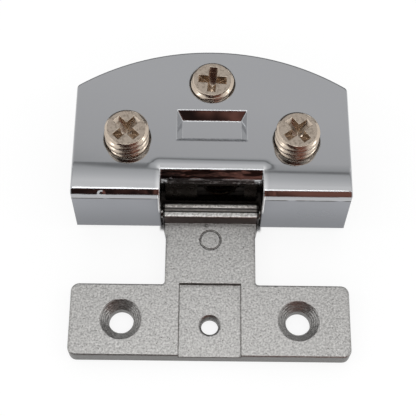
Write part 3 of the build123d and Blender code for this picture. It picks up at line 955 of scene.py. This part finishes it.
def build_floor(colour):
    """A matt, pale tabletop under the hinge: mostly an even glow, which keeps a little of the shadow.

    The glow takes no notice of what stands over it, and would show as white slits beside the knuckle. So a shadow is
    painted dark on the floor there, wherever something stands close over it. With the door open that shows as a
    rough dark patch.
    """
    material, add, place = new_material("matt_paper")
    parts = add("SeparateXYZ", place).node.outputs
    open_share = add("AmbientOcclusion", {"Distance": 5.0 * MM}, take="AO", samples=16)
    # painted shadow: dark paper, without the glow, where something stands close over the floor beside the knuckle
    under = add("MapRange", open_share, 0.5, 0.32, **SMOOTH)
    behind = add("MapRange", parts["Y"], pin_point.y - 2.4 * MM, pin_point.y - 1.6 * MM, **SMOOTH)
    between = add("MapRange", add("Math.ABSOLUTE", parts["X"]), 9.8 * MM, 9.3 * MM, **SMOOTH)
    under = add("Math.MULTIPLY", under, add("Math.MULTIPLY", behind, between))
    paper = add("BsdfDiffuse", add("MixRGB", under, srgb(colour), srgb("#2A2827")))
    white = add("Emission", WHITE, 1.0)

    # the eye and the hinge's reflections see a white floor; its own light and shadow still show a little
    rays = add("LightPath").node.outputs
    seen = add("Math.MAXIMUM", rays["Is Camera Ray"], rays["Is Glossy Ray"])
    seen = add("Math.MAXIMUM", seen, rays["Is Transmission Ray"])
    seen = add("Math.MULTIPLY", add("Math.MULTIPLY", seen, 0.85), add("Math.SUBTRACT", 1.0, under))
    add("OutputMaterial", add("MixShader", seen, paper, white))
    rows = [[(x, y, 0) for x in (-FLOOR_REACH, FLOOR_REACH)] for y in (-FLOOR_REACH, FLOOR_REACH)]
    stage_sheet("studio_floor", rows, material).location.z = -FLOOR_DROP


def card_glow(add, share, colours):
    """Ends a card's material in an even glow that follows its colours, from the first place to the last."""
    ramp = add("ValToRGB", share)
    elements = ramp.node.color_ramp.elements
    while len(elements) < len(colours):
        elements.new(0.5)
    first, last = colours[0][0], colours[-1][0]
    for element, (place, colour) in zip(elements, colours):
        element.position = (place - first) / (last - first)
        element.color = srgb(colour)
    add("OutputMaterial", add("Emission", ramp, 1.0))


def build_back_wall():
    """A grey card behind the hinge that glows and is seen only in reflections, as painted reflections, bent round it
    from the floor to the batten along its top edge.
    """
    material, add, place = new_material("glowing_grey_card")
    parts = add("SeparateXYZ", place).node.outputs
    angle = add("Math.ARCTAN2", parts["Z"], parts["Y"])
    top = radians(BACK_WALL[-1][0])
    card_glow(add, add("MapRange", angle, 0.0, top), BACK_WALL)
    rows = []
    for step in range(WALL_STEPS + 1):
        turn = top * step / WALL_STEPS
        y, z = WALL_DISTANCE * cos(turn), WALL_DISTANCE * sin(turn)
        rows.append(((-WALL_HALF_WIDTH, y, z), (WALL_HALF_WIDTH, y, z)))
    wall = stage_sheet("back_wall", rows, material)
    wall.location = pin_point
    reflected_only(wall)


def build_curtain():
    """A dark curtain card that glows and is seen only in reflections, as painted dark reflections. It stands before
    the
    T plate and leans away from the hinge, with a soft mottle in its glow that stands for folds.
    """
    material, add, place = new_material("glowing_brown_card")
    share = add("MapRange", add("SeparateXYZ", place), CURTAIN_COLOURS[0][0], CURTAIN_COLOURS[-1][0])
    # a mottle painted into the glow in place of the folds' light and shade
    fold_mottle = add("TexNoise", {"Vector": place, "Scale": per_metre(5.0), "Detail": 2.0})
    card_glow(add, add("Math.MULTIPLY_ADD", add("Math.SUBTRACT", fold_mottle, 0.5), 2.6, share), CURTAIN_COLOURS)
    rows = []
    for rise, half_width in zip((0, CURTAIN_HEIGHT), CURTAIN_HALF_WIDTHS):
        y, z = CURTAIN_FOOT - rise * sin(CURTAIN_LEAN), rise * cos(CURTAIN_LEAN)
        rows.append(((-half_width, y, z), (half_width, y, z)))
    reflected_only(stage_sheet("dark_curtain", rows, material))


def build_world(strength):
    """The studio's even white light, the same for every ray."""
    world = bpy.data.worlds.new("studio")
    bpy.context.scene.world = world
    world.use_nodes = True
    world.node_tree.nodes.clear()
    light = add_node(world.node_tree, "Background", WHITE, strength)
    add_node(world.node_tree, "OutputWorld", light)


def build_lamps():
    """Soft boxes to the left and right and one overhead, for bright edges and a soft shadow."""
    for name, (offset, size, power) in LAMPS.items():
        lamp = bpy.data.lights.new(name, "AREA")
        lamp.shape = "SQUARE"
        lamp.size = size
        lamp.energy = power
        holder = bpy.data.objects.new(name, lamp)
        holder.location = pin_point + Vector(offset)
        holder.rotation_euler = (-Vector(offset)).to_track_quat("-Z", "Y").to_euler()
        bpy.context.scene.collection.objects.link(holder)


def build_camera(scene, settings):
    """The camera looks down steeply on the hinge from the T plate's side."""
    lens = bpy.data.cameras.new("studio_camera")
    lens.lens = settings.lens
    lens.sensor_width = 36
    lens.clip_start = 0.01
    lens.clip_end = 20
    camera = bpy.data.objects.new("studio_camera", lens)
    place = Vector(settings.camera_place)
    gaze = (Vector(settings.camera_aim) - place).to_track_quat("-Z", "Y")
    camera.location = place
    camera.rotation_mode = "QUATERNION"
    camera.rotation_quaternion = gaze @ Quaternion((0, 0, 1), settings.camera_roll)
    scene.collection.objects.link(camera)
    scene.camera = camera


# ----------------------------------------------------------------------- panel
class HINGE_PT_pieces(bpy.types.Panel):
    """The hinge's pieces, in the order in which they are made"""

    bl_idname = "HINGE_PT_pieces"
    bl_label = "Glass Door Hinge"
    bl_space_type = "VIEW_3D"
    bl_region_type = "UI"
    bl_category = "Hinge"

    def draw(self, context):
        column = self.layout.column()
        for operator in OPERATORS:
            column.operator(operator.bl_idname)


OPERATORS = (
    HINGE_OT_clamp,
    HINGE_OT_arm,
    HINGE_OT_set_screws,
    HINGE_OT_latch,
    HINGE_OT_glass_grip,
    HINGE_OT_stage,
)
GROUPS = (SetScrewSizes, SpringSizes, PadSizes, TappedHoleSizes, FinishColours, StageSettings, HingeSettings)


def register():
    for item in (*GROUPS, *OPERATORS, HINGE_PT_pieces):
        bpy.utils.register_class(item)
    bpy.types.Scene.hinge = PointerProperty(type=HingeSettings)


def unregister():
    del bpy.types.Scene.hinge
    for item in reversed((*GROUPS, *OPERATORS, HINGE_PT_pieces)):
        bpy.utils.unregister_class(item)


def main():
    register()
    for operator in OPERATORS:
        group, name = operator.bl_idname.split(".")
        getattr(getattr(bpy.ops, group), name)()


if __name__ == "__main__":
    main()
